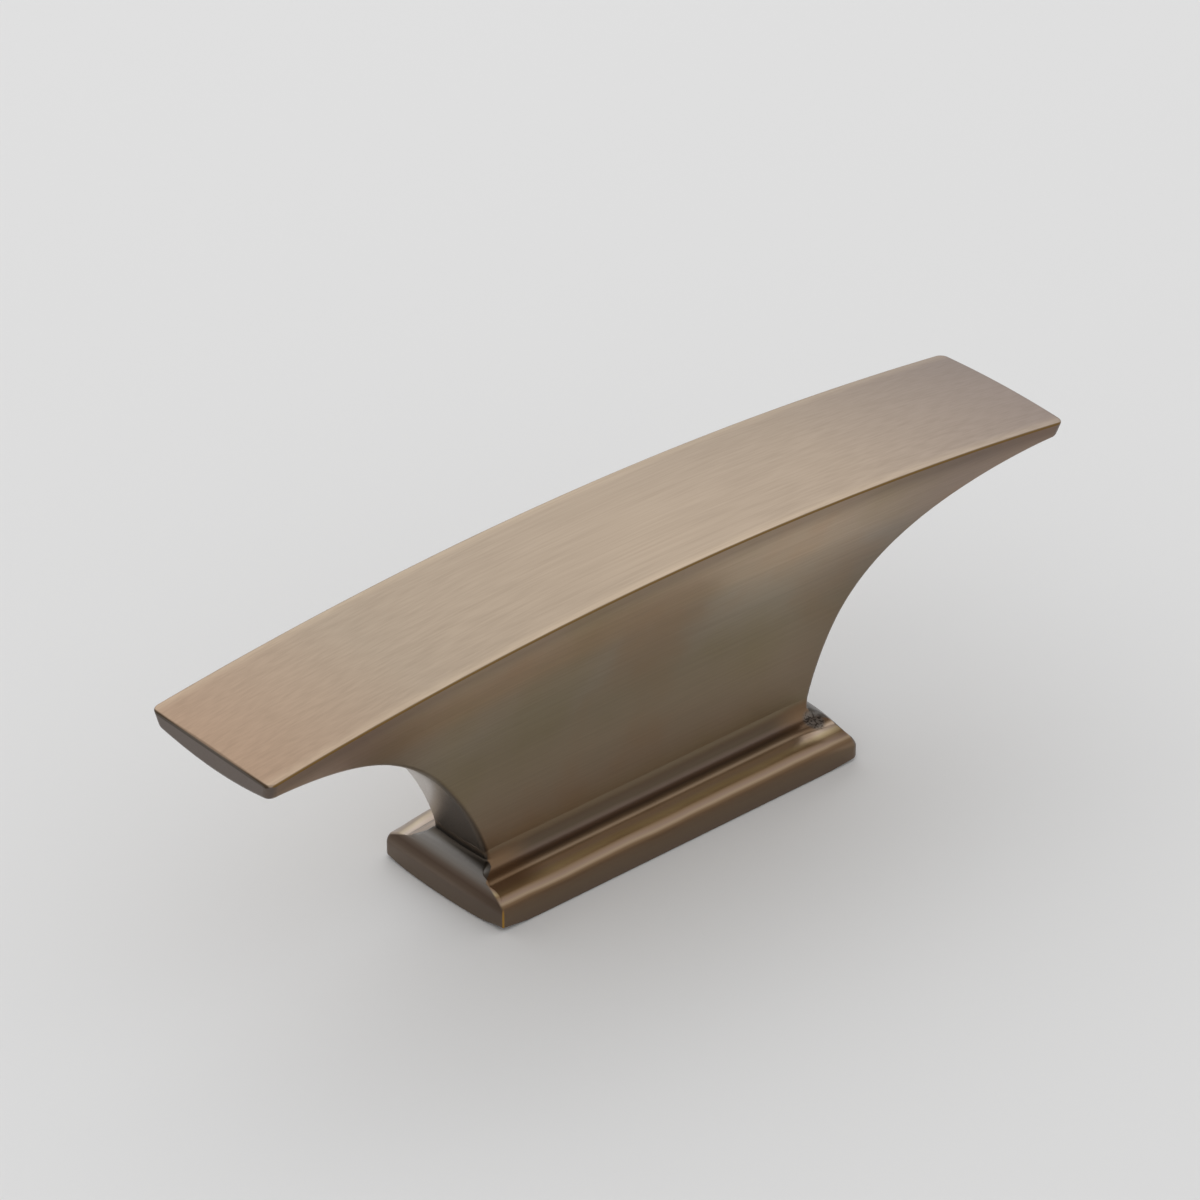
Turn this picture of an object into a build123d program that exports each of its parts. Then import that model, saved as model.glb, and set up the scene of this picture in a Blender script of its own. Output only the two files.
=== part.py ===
"""Cabinet pull: one brass casting with an arched bar, a tapering neck and a moulded foot.

Frame: the origin is the middle of the foot's underside, which lies on the drawer front. X runs along the bar,
Y across it and Z away from the drawer front. All sizes are in millimetres.
"""
import math
import os

from build123d import *

# Bar: the arched top with its two wings
bar_length = 115.0
bar_width = 20.4
projection = 36.75
arch_rise = 3.8
top_crown = 0.35
tip_thickness = 3.0
tip_corner_radius = 1.0
arris_radius = 0.2

# Flanks: curves that hang from the arrises and end upright on the neck
neck_width = 9.0
flank_drop = 21.0
flank_lean = 13.0
flank_rise = 11.0
flank_reach = 5.0

# Flare: the curve from the neck's end to the wing's tip, crowned across
neck_length = 46.4
flare_lean = 8.0
flare_rise = 15.0
flare_reach = 20.0
flare_crown_radius = 45.0
soft_edge_radius = 0.6

# Foot: mouldings that stand out from the neck, on its long sides and at its short ends
nose_height = 2.1
foot_undercut = 0.1
base_edge_radius = 0.5
side_moulding = 5.6
side_nose_inset = 0.8
side_nose_rise = 0.97
shoulder_reach = 2.3
cove_reach = 2.3
cove_top = 6.7
end_moulding = 2.5
end_crease = 5.25
end_crease_inset = 0.6

# Fixing: two blind holes for machine screws, drilled to the core size of the thread
hole_spacing = 32.0
hole_radius = 1.65
hole_depth = 14.0
mouth_chamfer = 0.45
drill_point_angle = 118.0

# The arch: the arrises are arcs about one line across the part
half_length = bar_length / 2
arris_top = projection - top_crown
arch_radius = (half_length**2 + arch_rise**2) / (2 * arch_rise)
arch_axis = Axis((0, 0, arris_top - arch_radius), (0, 1, 0))
half_angle = math.degrees(math.asin(half_length / (arch_radius + top_crown)))

# Directions of the curves where they leave the neck and the arris
flank_slope = Vector(math.sin(math.radians(flank_lean)), math.cos(math.radians(flank_lean)))
flare_slope = Vector(math.sin(math.radians(flare_lean)), 0, math.cos(math.radians(flare_lean)))
outward = Vector(1, 0, 0)

# The neck's end leans outward, so it is a little longer at the crease than at the height of the nose
neck_end = Vector(neck_length / 2, 0, nose_height)
crease_half = neck_length / 2 + (end_crease - nose_height) * math.tan(math.radians(flare_lean))
foot_half_length = crease_half + end_moulding
foot_half_width = neck_width / 2 + side_moulding

with BuildPart() as bar:
    # Half of the bar, turned about the arch line: crowned top, hollow flanks, neck down into the foot
    with BuildSketch(Plane.YZ):
        with BuildLine():
            top = ThreePointArc((-bar_width / 2, arris_top), (0, projection), (bar_width / 2, arris_top))
            flank_foot = Vector(neck_width / 2, arris_top - flank_drop)
            over_neck = flank_foot + Vector(0, flank_rise)
            flank = Bezier(flank_foot, over_neck, top @ 1 - flank_slope * flank_reach, top @ 1)
            other_flank = mirror(flank, about=Plane.YZ)
            neck_corners = [(neck_width / 2, nose_height), (-neck_width / 2, nose_height)]
            Polyline(flank @ 0, *neck_corners, other_flank @ 0)
        make_face()
    revolve(axis=arch_axis, revolution_arc=half_angle)

    # The end of the neck and the underside of the wing are one crowned face that follows the flare
    with BuildLine() as flare:
        tip = Vector(half_length, 0, arris_top - arch_rise - tip_thickness)
        Line(neck_end - flare_slope * projection, neck_end)
        Bezier(neck_end, neck_end + flare_slope * flare_rise, tip - outward * flare_reach, tip)
        Line(tip, tip + outward * bar_width)
    with BuildSketch(Plane(flare.line @ 0, x_dir=(0, 1, 0), z_dir=flare.line % 0)):
        with BuildLine():
            recess = flare_crown_radius - math.sqrt(flare_crown_radius**2 - bar_width**2)
            crown = ThreePointArc((-bar_width, recess), (0, 0), (bar_width, recess))
            Polyline(crown @ 1, (bar_width, bar_length), (-bar_width, bar_length), crown @ 0)
        make_face()
    sweep(path=flare.line, mode=Mode.INTERSECT)

    # Rounded corners at the wing's tip, soft edges round its underside, crisp arrises round its top
    tip_edges = bar.faces().sort_by(Axis.X)[-1].edges().sort_by(Axis.Y)
    fillet([tip_edges[0], tip_edges[-1]], tip_corner_radius)
    underside = bar.faces().filter_by(GeomType.BSPLINE).sort_by(SortBy.AREA)[-1]
    fillet(underside.edges().filter_by(lambda e: e.center().Z > nose_height), soft_edge_radius)
    arrises = bar.faces().sort_by(Axis.Z)[-1].edges().filter_by(lambda e: e.center().X > arris_radius)
    fillet(arrises, arris_radius)
    mirror(about=Plane.YZ)

with BuildPart() as foot:
    # Long sides: rounded nose, sloping shoulder and a cove that ends upright on the neck's flank
    with BuildSketch(Plane.YZ) as side_profile:
        with BuildLine():
            nose_start = (foot_half_width, nose_height)
            nose_end = Vector(foot_half_width - side_nose_inset, nose_height + side_nose_rise)
            base_end = (foot_half_width - foot_undercut, 0)
            cove_end = Vector(neck_width / 2, cove_top)
            TangentArc(nose_start, base_end, tangent=(0, -1))
            nose = TangentArc(nose_start, nose_end, tangent=(0, 1))
            under_cove = cove_end - Vector(0, cove_reach)
            Bezier(nose_end, nose_end + nose % 1 * shoulder_reach, under_cove, cove_end)
            Polyline(cove_end, (0, cove_top), (0, 0), base_end)
        make_face()
        fillet(side_profile.vertices().sort_by_distance(base_end)[0], base_edge_radius)
        mirror(about=Plane.YZ)
    extrude(amount=foot_half_length, both=True)

    # Short ends: one quadrant up to a crease on the neck; the mouldings mitre at the corners
    with BuildSketch(Plane.XZ) as end_profile:
        with BuildLine():
            nose_start = (foot_half_length, nose_height)
            base_end = (foot_half_length - foot_undercut, 0)
            crease = (crease_half, end_crease)
            TangentArc(nose_start, base_end, tangent=(0, -1))
            TangentArc(nose_start, crease, tangent=(0, 1))
            ridge = crease_half - end_crease_inset
            Polyline(crease, (ridge, end_crease), (ridge, cove_top), (0, cove_top), (0, 0), base_end)
        make_face()
        fillet(end_profile.vertices().sort_by_distance(base_end)[0], base_edge_radius)
        mirror(about=Plane.YZ)
    extrude(amount=foot_half_width, both=True, mode=Mode.INTERSECT)

with BuildPart() as pull:
    add(bar.part)
    add(foot.part)

    # Screw holes from the underside: chamfered mouth, plain bore, drill point at the bottom
    with Locations(Plane.XY.rotated((180, 0, 0))):
        with GridLocations(hole_spacing, 1, 2, 1):
            CounterSinkHole(hole_radius, hole_radius + mouth_chamfer, hole_depth, counter_sink_angle=90)
    point_height = hole_radius / math.tan(math.radians(drill_point_angle / 2))
    on_its_base = (Align.CENTER, Align.CENTER, Align.MIN)
    with Locations(Plane.XY.offset(hole_depth)):
        with GridLocations(hole_spacing, 1, 2, 1):
            Cone(hole_radius, 0, point_height, align=on_its_base, mode=Mode.SUBTRACT)

os.makedirs("parts", exist_ok=True)
pull.part.label = "pull"
export_step(pull.part, "parts/pull.step")
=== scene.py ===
"""Cabinet pull in aged brass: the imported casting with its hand-finished foot and patina, on a pale studio floor."""
import math

import bpy
import numpy as np
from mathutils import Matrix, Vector


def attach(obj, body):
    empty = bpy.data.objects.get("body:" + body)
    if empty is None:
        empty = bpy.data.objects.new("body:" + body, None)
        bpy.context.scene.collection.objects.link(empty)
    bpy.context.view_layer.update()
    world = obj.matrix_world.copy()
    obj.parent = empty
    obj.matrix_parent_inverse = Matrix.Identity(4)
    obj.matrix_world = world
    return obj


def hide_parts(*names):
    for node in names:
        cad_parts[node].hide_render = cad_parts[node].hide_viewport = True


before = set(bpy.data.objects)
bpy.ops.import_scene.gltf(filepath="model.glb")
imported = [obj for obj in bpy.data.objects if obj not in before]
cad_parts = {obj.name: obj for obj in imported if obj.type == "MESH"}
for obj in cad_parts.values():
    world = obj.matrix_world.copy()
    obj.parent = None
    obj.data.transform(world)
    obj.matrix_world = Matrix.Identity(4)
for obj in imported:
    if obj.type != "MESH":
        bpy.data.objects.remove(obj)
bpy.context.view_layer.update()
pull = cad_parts["pull"]

# Sizes of the casting that its finish follows, in metres
MM = 0.001
ARCH_RADIUS = 436.93 * MM
ARCH_CENTRE = (0, 0, -400.53 * MM)


def linear(hex_colour):
    """An sRGB hex colour as linear RGBA."""
    channels = [int(hex_colour[i:i + 2], 16) / 255 for i in (1, 3, 5)]
    return [c / 12.92 if c <= 0.04045 else ((c + 0.055) / 1.055) ** 2.4 for c in channels] + [1.0]


def add(tree, kind, inputs=None, out=0, **settings):
    """Adds one node with its settings; inputs hold socket values or sockets to link. Gives one output socket."""
    node = tree.nodes.new(kind)
    for name, value in settings.items():
        setattr(node, name, value)
    for socket, value in (inputs or {}).items():
        if isinstance(value, bpy.types.NodeSocket):
            tree.links.new(value, node.inputs[socket])
        else:
            node.inputs[socket].default_value = value
    return node if out is None else node.outputs[out]


def new_material(name):
    """An empty node material, returned with its tree."""
    material = bpy.data.materials.new(name)
    material.use_nodes = True
    material.node_tree.nodes.clear()
    return material, material.node_tree


def aged_brass():
    """Cast brass, browned in a bath, then brushed along the bar and waxed.

    The eye sees a satin metal: pale grey-gold on the brushed top with a painted highlight along its rims, brown to
    olive on the flanks, a pale coppery painted highlight on the foot's shoulder, a painted reflection on the neck's
    left end, and blackened creases where the foot meets the neck. Thin bronze and dark lines follow the bar's
    arrises, and a thin gold line runs up one corner of the foot.
    """
    material, tree = new_material("aged_brass_brushed")
    smooth = {"interpolation_type": "SMOOTHSTEP"}
    tinted = {"data_type": "RGBA", "out": 2}
    place = add(tree, "ShaderNodeTexCoord", out="Object")
    along_x, along_y, height = add(tree, "ShaderNodeSeparateXYZ", {0: place}).node.outputs
    folded = add(tree, "ShaderNodeVectorMath", {0: place}, operation="ABSOLUTE")
    out_x, out_y, _ = add(tree, "ShaderNodeSeparateXYZ", {0: folded}).node.outputs

    # Brush lines 0.25 mm apart along the bar, patina in clouds 18 mm across, unevenness of the polish 6 mm across
    brushing = add(tree, "ShaderNodeMapping", {0: place, "Scale": (1 / 50, 1, 1)})
    lines = add(tree, "ShaderNodeTexNoise", {"Vector": brushing, "Scale": 1 / (0.25 * MM), "Detail": 3.0})
    clouds = add(tree, "ShaderNodeTexNoise", {"Vector": place, "Scale": 1 / (18 * MM), "Detail": 3.0})
    waves = add(tree, "ShaderNodeTexNoise", {"Vector": place, "Scale": 1 / (6 * MM), "Detail": 1.0})

    # Depth below the arched top, and distances from its long arrises and its end arrises
    from_axis = add(tree, "ShaderNodeVectorMath", {0: folded, 1: ARCH_CENTRE}, operation="SUBTRACT")
    from_axis = add(tree, "ShaderNodeVectorMath", {0: from_axis, 1: (1, 0, 1)}, operation="MULTIPLY")
    radius = add(tree, "ShaderNodeVectorMath", {0: from_axis}, out="Value", operation="LENGTH")
    depth = add(tree, "ShaderNodeMath", {0: ARCH_RADIUS, 1: radius}, operation="SUBTRACT")
    section = add(tree, "ShaderNodeCombineXYZ", {0: out_y, 1: depth})
    arris = add(tree, "ShaderNodeVectorMath", {0: section, 1: (10.15 * MM, 0.1 * MM, 0)}, out="Value",
                operation="DISTANCE")
    end_section = add(tree, "ShaderNodeCombineXYZ", {0: out_x, 1: depth})
    end_arris = add(tree, "ShaderNodeVectorMath", {0: end_section, 1: (57.45 * MM, 0.1 * MM, 0)}, out="Value",
                    operation="DISTANCE")
    # Distance from the upright edge at the foot's near left corner, which counts for little along its height
    near_left = (-26.13 * MM, -10.1 * MM, 1.2 * MM)
    corner = add(tree, "ShaderNodeVectorMath", {0: place, 1: near_left}, operation="SUBTRACT")
    corner = add(tree, "ShaderNodeVectorMath", {0: corner, 1: (1, 1, 0.06)}, operation="MULTIPLY")
    corner = add(tree, "ShaderNodeVectorMath", {0: corner}, out="Value", operation="LENGTH")

    # How far down and out a point lies on the mouldings of the foot's sides, a little wavy, and of its ends
    side_slope, end_slope = (0, 0.651, -0.759), (0.65, 0, -0.76)
    side_fall = add(tree, "ShaderNodeVectorMath", {0: folded, 1: side_slope}, out="Value", operation="DOT_PRODUCT")
    side_fall = add(tree, "ShaderNodeMath", {0: waves, 1: 0.3 * MM, 2: side_fall}, operation="MULTIPLY_ADD")
    end_fall = add(tree, "ShaderNodeVectorMath", {0: folded, 1: end_slope}, out="Value", operation="DOT_PRODUCT")

    # Bands of the finish and of painted highlight: position in millimetres and colour
    bands = {}
    for name, length, stops in (
        ("top", along_x, ((-57, "#99826e"), (-35, "#998a79"), (0, "#a1917f"), (28, "#9d8d7c"), (57, "#8a7c73"))),
        ("flank", depth, ((0.3, "#a08b75"), (1.1, "#9d8973"), (2.5, "#b59f84"), (3.7, "#bca58a"), (6.5, "#baa58a"),
                          (9, "#aa9c87"), (13, "#978b78"), (17, "#8c7f6a"), (27, "#897865"), (30, "#887b67"))),
        # In the side band, the pale stops on the level shoulder, 1.45 to 2.65 mm, are a painted highlight; the dark
        # stops up to 0.55 mm are the blackened crease
        ("side", side_fall, ((-2.2, "#77654f"), (-1.25, "#615244"), (-0.65, "#5a4e40"), (0.0, "#74645a"),
                             (0.3, "#6e5a4c"), (0.55, "#64554a"), (0.85, "#7e6d5b"), (1.15, "#8c7965"),
                             (1.45, "#9d8871"), (1.75, "#c0ab97"), (2.05, "#bba896"), (2.35, "#bba98a"),
                             (2.65, "#b09c77"), (2.95, "#877052"), (3.55, "#968070"), (3.85, "#a48f77"),
                             (4.15, "#79624a"), (4.45, "#6d5743"), (4.75, "#76624f"), (5.4, "#776654"),
                             (6.6, "#746456"))),
        ("end", end_fall, ((9.2, "#605549"), (10.7, "#5a5148"), (11.4, "#3c3630"), (11.7, "#47423c"),
                           (12.2, "#676461"), (12.8, "#75716d"), (13.3, "#726c66"), (13.9, "#5c5047"),
                           (14.4, "#4e4036"), (14.95, "#5a4c41"), (15.4, "#6c5f54"), (16.9, "#746659"))),
    ):
        first, last = stops[0][0], stops[-1][0]
        share = add(tree, "ShaderNodeMapRange", {0: length, 1: first * MM, 2: last * MM})
        shade = add(tree, "ShaderNodeValToRGB", {0: share}, out=None)
        ramp = shade.color_ramp
        ramp.elements[0].color, ramp.elements[1].color = linear(stops[0][1]), linear(stops[-1][1])
        for position, tone in stops[1:-1]:
            ramp.elements.new((position - first) / (last - first)).color = linear(tone)
        bands[name] = shade.outputs[0]

    # Where each band lies: the top, the foot and its ends beyond the mitres, which bend where the shoulder starts
    on_top = add(tree, "ShaderNodeMapRange", {0: depth, 1: 0.02 * MM, 2: 0.2 * MM, 3: 1.0, 4: 0.0}, **smooth)
    on_foot = add(tree, "ShaderNodeMapRange", {0: height, 1: 6.0 * MM, 2: 7.0 * MM, 3: 1.0, 4: 0.0}, **smooth)
    mitre_in = add(tree, "ShaderNodeMapRange", {0: out_y, 1: 5.1 * MM, 2: 6.4 * MM, 3: 23.6 * MM, 4: 25.45 * MM})
    mitre_out = add(tree, "ShaderNodeMapRange", {0: out_y, 1: 6.4 * MM, 2: 10.1 * MM, 3: 0.0, 4: 0.69 * MM})
    mitre = add(tree, "ShaderNodeMath", {0: mitre_in, 1: mitre_out})
    over_mitre = add(tree, "ShaderNodeMath", {0: out_x, 1: mitre}, operation="SUBTRACT")
    on_end = add(tree, "ShaderNodeMapRange", {0: over_mitre, 1: -0.08 * MM, 2: 0.08 * MM}, **smooth)
    on_end = add(tree, "ShaderNodeMath", {0: on_end, 1: on_foot}, operation="MULTIPLY")
    # The ends of the neck: they flare out as the square of the height and are crowned as the square across
    flare_rate, crown_rate = 0.0217 / MM, 0.0111 / MM
    height_2 = add(tree, "ShaderNodeMath", {0: height, 1: height}, operation="MULTIPLY")
    out_y_2 = add(tree, "ShaderNodeMath", {0: out_y, 1: out_y}, operation="MULTIPLY")
    flare = add(tree, "ShaderNodeMath", {0: height_2, 1: -flare_rate, 2: out_x}, operation="MULTIPLY_ADD")
    flare = add(tree, "ShaderNodeMath", {0: out_y_2, 1: crown_rate, 2: flare}, operation="MULTIPLY_ADD")
    on_flare = add(tree, "ShaderNodeMapRange", {0: flare, 1: 22.6 * MM, 2: 23.0 * MM}, **smooth)
    low = add(tree, "ShaderNodeMapRange", {0: height, 1: 15 * MM, 2: 23 * MM, 3: 1.0, 4: 0.0}, **smooth)
    on_flare = add(tree, "ShaderNodeMath", {0: on_flare, 1: low}, operation="MULTIPLY")

    # A painted highlight makes the top palest along its rims
    painted_rim_highlight = add(tree, "ShaderNodeMapRange", {0: out_y, 1: 8.4 * MM, 2: 9.9 * MM, 3: 0.0, 4: 0.3}, **smooth)
    painted_rim_highlight = add(tree, "ShaderNodeMath", {0: painted_rim_highlight, 1: on_top}, operation="MULTIPLY")
    # The shoulder of the foot's sides is browner beyond the neck's ends
    beyond = add(tree, "ShaderNodeMapRange", {0: out_x, 1: 17 * MM, 2: 22.5 * MM, 3: 0.0, 4: 0.8}, **smooth)
    shoulder = add(tree, "ShaderNodeMapRange", {0: height, 1: 3.9 * MM, 2: 4.25 * MM}, **smooth)
    beyond = add(tree, "ShaderNodeMath", {0: beyond, 1: shoulder}, operation="MULTIPLY")
    beyond = add(tree, "ShaderNodeMath", {0: beyond, 1: on_foot}, operation="MULTIPLY")
    # The far side of the foot is greyer
    far = add(tree, "ShaderNodeMapRange", {0: along_y, 1: 3 * MM, 2: 6 * MM, 3: 0.0, 4: 0.5}, **smooth)
    far = add(tree, "ShaderNodeMath", {0: far, 1: on_foot}, operation="MULTIPLY")
    # A painted reflection makes the neck's left end pale above a slanting line
    slant = add(tree, "ShaderNodeMath", {0: height, 1: 0.7, 2: along_y}, operation="MULTIPLY_ADD")
    painted_end_reflection = add(tree, "ShaderNodeMapRange", {0: slant, 1: 8.0 * MM, 2: 10.8 * MM, 3: 0.0, 4: 0.9}, **smooth)
    on_left = add(tree, "ShaderNodeMath", {0: along_x, 1: 0.0}, operation="LESS_THAN")
    painted_end_reflection = add(tree, "ShaderNodeMath", {0: painted_end_reflection, 1: on_left}, operation="MULTIPLY")
    painted_end_reflection = add(tree, "ShaderNodeMath", {0: painted_end_reflection, 1: on_flare}, operation="MULTIPLY")
    # A patch at the neck's near right corner is left as cast, with pits 0.3 mm across
    patch = (23.4 * MM, -6.0 * MM, 4.6 * MM)
    from_patch = add(tree, "ShaderNodeVectorMath", {0: place, 1: patch}, out="Value", operation="DISTANCE")
    as_cast = add(tree, "ShaderNodeMapRange", {0: from_patch, 1: 0.9 * MM, 2: 1.6 * MM, 3: 0.9, 4: 0.0}, **smooth)
    pits = add(tree, "ShaderNodeTexNoise", {"Vector": place, "Scale": 1 / (0.3 * MM), "Detail": 1.0})
    pits = add(tree, "ShaderNodeMapRange", {0: pits, 1: 0.52, 2: 0.6}, **smooth)
    pits = add(tree, "ShaderNodeMath", {0: pits, 1: as_cast}, operation="MULTIPLY")

    # Patina tints the flanks: olive and orange in clouds, darker towards the wings' ends
    colour = bands["flank"]
    olive = add(tree, "ShaderNodeMapRange", {0: clouds, 1: 0.45, 2: 0.7, 3: 0.0, 4: 0.8}, **smooth)
    orange = add(tree, "ShaderNodeMapRange", {0: clouds, 1: 0.3, 2: 0.5, 3: 0.8, 4: 0.0}, **smooth)
    right = add(tree, "ShaderNodeMapRange", {0: along_x, 1: 15 * MM, 2: 45 * MM, 3: 0.0, 4: 1.0}, **smooth)
    left = add(tree, "ShaderNodeMapRange", {0: along_x, 1: -28 * MM, 2: -48 * MM}, **smooth)
    for mask, tone in ((olive, linear("#f6f6e8")), (orange, linear("#fff0e2")), (left, linear("#cbc0c0")),
                       (right, linear("#beb9bf"))):
        colour = add(tree, "ShaderNodeMix", {0: mask, 6: colour, 7: tone}, blend_type="MULTIPLY", **tinted)

    # The other bands and marks lie over the flanks, each over the one before
    tips = add(tree, "ShaderNodeMapRange", {0: out_x, 1: 56.0 * MM, 2: 56.9 * MM}, **smooth)
    streaks = add(tree, "ShaderNodeMapRange", {0: lines, 1: 0.35, 2: 0.7, 3: 0.0, 4: 0.14})
    for mask, tone in (
        (on_flare, linear("#5f554b")),
        (tips, linear("#665b54")),
        # Painted reflection on the neck's left end
        (painted_end_reflection, linear("#d2cbc5")),
        (on_top, bands["top"]),
        # Painted highlight along the top's rims
        (painted_rim_highlight, linear("#c2af98")),
        (streaks, linear("#6d5e4d")),
        # The side band carries a painted highlight on the foot's shoulder
        (on_foot, bands["side"]),
        (beyond, linear("#7c634b")),
        (far, linear("#a59d96")),
        (on_end, bands["end"]),
        (as_cast, linear("#6f6963")),
        (pits, linear("#3a332e")),
    ):
        colour = add(tree, "ShaderNodeMix", {0: mask, 6: colour, 7: tone}, **tinted)

    # Edges: distance, fully coloured within, clear beyond, strength and colour
    for edge, inner, outer, strength, tone in (
        (arris, 0.08, 0.2, 0.9, "#765a2e"),
        (end_arris, 0.15, 0.35, 0.9, "#3f3325"),
        (corner, 0.08, 0.22, 0.9, "#b0863c"),
    ):
        mask = add(tree, "ShaderNodeMapRange", {0: edge, 1: inner * MM, 2: outer * MM, 3: strength, 4: 0.0}, **smooth)
        colour = add(tree, "ShaderNodeMix", {0: mask, 6: colour, 7: linear(tone)}, **tinted)

    # Satin gloss and the fine relief of polish and brush
    rough = add(tree, "ShaderNodeMapRange", {0: lines, 1: 0.3, 2: 0.7, 3: 0.3, 4: 0.37})
    polish = add(tree, "ShaderNodeBump", {"Height": waves, "Strength": 1.0, "Distance": 0.02 * MM})
    brushed = add(tree, "ShaderNodeBump", {"Height": lines, "Normal": polish, "Strength": 0.3,
                                           "Distance": 0.01 * MM})
    surface = add(tree, "ShaderNodeBsdfPrincipled", {"Base Color": colour, "Roughness": rough, "Normal": brushed,
                                                     "Metallic": 1.0})
    add(tree, "ShaderNodeOutputMaterial", {"Surface": surface}, out=None)
    return material


def bezier(points, count):
    """Cubic curve through its first and last point: the four points weighted by the Bernstein polynomials of t."""
    t = np.linspace(0.0, 1.0, count)[:, None]
    p = np.array(points, float)
    return (1 - t) ** 3 * p[0] + 3 * t * (1 - t) ** 2 * p[1] + 3 * t ** 2 * (1 - t) * p[2] + t ** 3 * p[3]


def arc(centre, radius, start, end, count):
    """Circular arc: the centre plus the radius times cosine and sine of the angle."""
    angle = np.radians(np.linspace(start, end, count))[:, None]
    return np.array(centre) + radius * np.hstack([np.cos(angle), np.sin(angle)])


def foot_moulding():
    """The foot's hand-finished moulding: a closed ring of rounded rectangles, given as points and quads.

    Along the profile v, each rectangle has its own half width, half length, height and corner radii. Round it, u runs
    along the corner arcs and the straight sides between them. Near a corner the top sinks and the base edge lifts by
    a bell curve of the distance from it. Above the crease the ends follow the neck's crown, a parabola across. The
    last rectangle lies inside the neck and joins the first, which lies under it. Sizes are in millimetres.
    """
    foot_half_width, base_edge, crease = 10.14, 0.3, 5.5
    # Side profile as half width and height: base edge, upright face, nose, shoulder, cove that ends on the neck
    side = np.vstack([
        [(4.25, 0.02), (8.8, 0.01)],
        arc((foot_half_width - base_edge, base_edge), base_edge, -90, 0, 8),
        [(foot_half_width, z) for z in (0.7, 1.1, 1.5, 1.9, 2.25)],
        arc((8.39, 2.5), 1.75, 0, 68, 16),
        bezier(((9.046, 4.123), (8.42, 4.36), (7.8, 4.33), (7.2, 4.36)), 14)[1:],
        bezier(((7.2, 4.36), (7.0, 4.37), (6.85, 4.55), (6.55, 4.63)), 10)[1:],
        bezier(((6.55, 4.63), (6.15, 4.74), (5.6, 4.66), (5.16, 5.03)), 18)[1:],
        bezier(((5.16, 5.03), (4.86, 5.3), (4.58, 6.0), (4.47, 7.2)), 16)[1:],
    ])
    half_width, height = side[:, 0], side[:, 1]
    # End profile as half length at each height: the same base, one quadrant, and a crease against the neck's end
    end_centre, end_height, end_radius = 22.86, 2.35, 3.3
    over_nose = np.maximum(height - end_height, 0)
    quadrant = end_centre + np.sqrt(np.maximum(end_radius**2 - over_nose**2, 0))
    base = quadrant - np.where(height < base_edge, foot_half_width - half_width, 0)
    neck = np.interp(height, (crease, 5.8, 6.2, 6.7, 7.0, 7.2), (23.88, 23.97, 24.07, 24.2, 24.26, 24.2))
    half_length = np.where(height < crease, base, neck)

    # Corners in turn: far right, far left, near left, near right; the near left one is crisp, the right end longer
    signs = np.array([(1, 1), (-1, 1), (-1, -1), (1, -1)])
    corner_radius, extra_length = np.array([1.2, 0.9, 0.3, 1.2]), np.array([0.6, 0.3, 0.0, 0.6])
    sink, heel = np.array([0.25, 0.2, 0.02, 0.28]), np.array([0.3, 0.3, 0.5, 0.3])
    # Both run from 0 to 1: down from the crease to the nose, and up from the crease to the neck
    outward = np.clip((5.2 - height) / 2.7, 0, 1)[:, None]
    on_neck = np.clip((height - 5.0) / 0.6, 0, 1)[:, None]
    inset = np.minimum(foot_half_width - half_width, corner_radius.max())[:, None]
    smallest_radius = 0.12 + 0.55 * on_neck
    radius = np.maximum(corner_radius - inset, smallest_radius)
    length = half_length[:, None] + extra_length * outward
    outer = np.stack([length, np.broadcast_to(half_width[:, None], length.shape)], axis=2)
    centre = signs * (outer - radius[:, :, None])
    turn = np.radians(np.array([0, 90, 180, 270])[:, None] + np.linspace(0, 90, 11))
    ring = np.stack([np.cos(turn), np.sin(turn)], axis=2)
    corners = centre[:, :, None, :] + radius[:, :, None, None] * ring
    # Straight sides between one corner's last point and the next corner's first; the left end bows outward
    left_bow, neck_crown, neck_half_length = 0.45, 90, 24.3
    share = np.linspace(0, 1, 34)[1:-1][None, None, :, None]
    sides = corners[:, :, -1:, :] * (1 - share) + np.roll(corners, -1, axis=1)[:, :, :1, :] * share
    sides[:, 1, :, 0] -= left_bow * outward * (4 * share * (1 - share))[0, 0, :, 0]
    plan = np.concatenate([corners, sides], axis=2).reshape(len(side), -1, 2)
    plan[:, :, 0] *= 1 - on_neck * plan[:, :, 1] ** 2 / (neck_crown * neck_half_length)

    # Heights, with the top sunk and the base edge lifted near each corner
    sink_reach, heel_reach = 4.0, 2.5
    gap = np.linalg.norm(plan[:, :, None, :] - signs * (26.1, 10.1), axis=3)
    low = np.clip(1 - height / 2.4, 0, 1)[:, None]
    rise = height[:, None] * (1 - (sink * np.exp(-(gap / sink_reach) ** 2)).sum(axis=2))
    rise += low * (heel * np.exp(-(gap / heel_reach) ** 2)).sum(axis=2)
    points = np.dstack([plan, rise]).reshape(-1, 3) * MM
    rows, columns = plan.shape[:2]
    index = np.arange(rows * columns).reshape(rows, columns)
    after = np.roll(index, -1, axis=1)
    above, above_after = np.roll(index, -1, axis=0), np.roll(after, -1, axis=0)
    return points, np.stack([index, after, above_after, above], axis=2).reshape(-1, 4)


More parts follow.
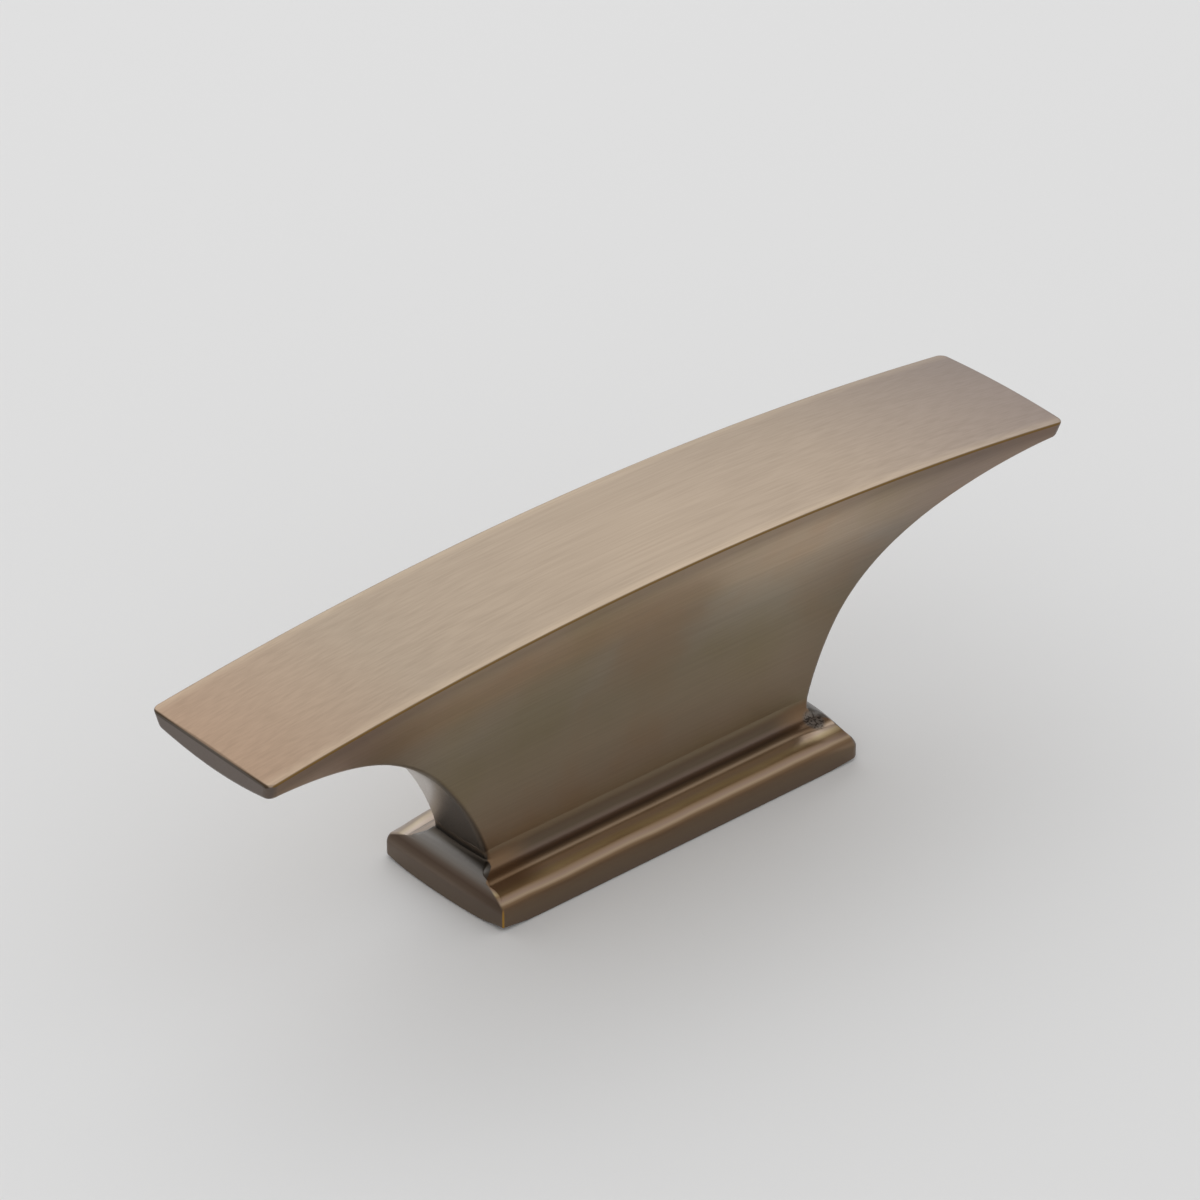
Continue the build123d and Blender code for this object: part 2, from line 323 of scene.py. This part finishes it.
def finished_pull():
    """The whole pull in one mesh: the casting without its own foot, and the finished foot as a closed ring round it.

    The points of the casting's foot are drawn in to a box inside the neck, so the neck runs straight down to the
    underside with its two holes. The casting's triangles are merged and keep their normals.
    """
    source = pull.data
    vertex = np.empty(len(source.loops), int)
    source.loops.foreach_get("vertex_index", vertex)
    place = np.empty(len(source.vertices) * 3)
    source.vertices.foreach_get("co", place)
    normals = np.empty(len(source.loops) * 3)
    source.corner_normals.foreach_get("vector", normals)
    place = place.reshape(-1, 3)
    # The casting's foot lies below the crease on the neck's ends, and below the cove's top beside its flanks
    crease, cove_top, flank = 5.2 * MM, 6.69 * MM, 4.52 * MM
    in_neck = np.array([23.2 * MM, 4.3 * MM])
    on_cove = (place[:, 2] < cove_top) & (np.abs(place[:, 1]) > flank)
    on_foot = on_cove | (place[:, 2] < crease)
    place[on_foot, :2] = np.clip(place[on_foot, :2], -in_neck, in_neck)

    # Points that now coincide are merged, and triangles that have shrunk to a line are left out
    cast_points, merged = np.unique(np.round(place, 7), axis=0, return_inverse=True)
    cast = merged.reshape(-1)[vertex].reshape(-1, 3)
    whole = (cast[:, 0] != cast[:, 1]) & (cast[:, 1] != cast[:, 2]) & (cast[:, 2] != cast[:, 0])
    foot_points, foot = foot_moulding()
    mesh = bpy.data.meshes.new("pull_casting")
    faces = cast[whole].tolist() + (foot + len(cast_points)).tolist()
    mesh.from_pydata(np.vstack([cast_points, foot_points]), [], faces)
    mesh.polygons.foreach_set("use_smooth", np.ones(len(mesh.polygons), bool))
    # A normal of zero leaves the smooth one that the foot's grid has by itself
    cast_normals = normals.reshape(-1, 3, 3)[whole].reshape(-1, 3)
    mesh.normals_split_custom_set(np.vstack([cast_normals, np.zeros((foot.size, 3))]))
    piece = bpy.data.objects.new("pull_casting", mesh)
    bpy.context.scene.collection.objects.link(piece)
    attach(piece, "root")
    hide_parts("pull")
    return piece


def studio():
    """A pale matt floor, a soft dome and one large soft light behind and above the pull."""
    bpy.ops.mesh.primitive_plane_add(size=8)
    floor = bpy.context.object
    floor.name = "floor"
    material, tree = new_material("floor_matt_paint")
    paint = add(tree, "ShaderNodeBsdfPrincipled", {"Base Color": linear("#e7e7e7"), "Roughness": 0.8})
    add(tree, "ShaderNodeOutputMaterial", {"Surface": paint}, out=None)
    floor.data.materials.append(material)

    world = bpy.data.worlds.new("studio_dome")
    bpy.context.scene.world = world
    world.use_nodes = True
    dome = world.node_tree.nodes["Background"]
    dome.inputs["Color"].default_value = (1.0, 1.0, 1.0, 1.0)
    dome.inputs["Strength"].default_value = 0.8

    place, size, radiance = Vector((0.34, 0.88, 0.82)), (1.6, 0.8), 0.7
    lamp = bpy.data.lights.new("back_softbox", "AREA")
    lamp.shape = "RECTANGLE"
    lamp.size, lamp.size_y = size
    lamp.energy = radiance * math.pi * size[0] * size[1]
    softbox = bpy.data.objects.new("back_softbox", lamp)
    softbox.location = place
    softbox.rotation_mode = "QUATERNION"
    softbox.rotation_quaternion = (-place).to_track_quat("-Z", "Y")
    bpy.context.scene.collection.objects.link(softbox)


def photo_camera():
    """The camera of the photograph: its angle, and the point of the pull that it looks at."""
    azimuth, elevation = math.radians(-41.05), math.radians(32.88)
    distance, focal_px, image_px = 0.7, 6311.0, 1200.0
    aim, aim_px = Vector((0, 0, 0.016)), (624.1, 686.7)
    back = Vector((math.sin(azimuth) * math.cos(elevation), -math.cos(azimuth) * math.cos(elevation),
                   math.sin(elevation)))
    right = Vector((math.cos(azimuth), math.sin(azimuth), 0))
    look = -back * focal_px - right * (aim_px[0] - image_px / 2) + back.cross(right) * (aim_px[1] - image_px / 2)
    camera = bpy.data.objects.new("camera", bpy.data.cameras.new("camera"))
    camera.location = aim + back * distance
    camera.rotation_mode = "QUATERNION"
    camera.rotation_quaternion = look.to_track_quat("-Z", "Y")
    camera.data.sensor_width = 36.0
    camera.data.lens = focal_px / image_px * camera.data.sensor_width
    camera.data.clip_start = 0.01
    bpy.context.scene.collection.objects.link(camera)
    bpy.context.scene.camera = camera


finish = aged_brass()
finished_pull().data.materials.append(finish)
studio()
photo_camera()
bpy.context.scene.view_settings.view_transform = "Standard"
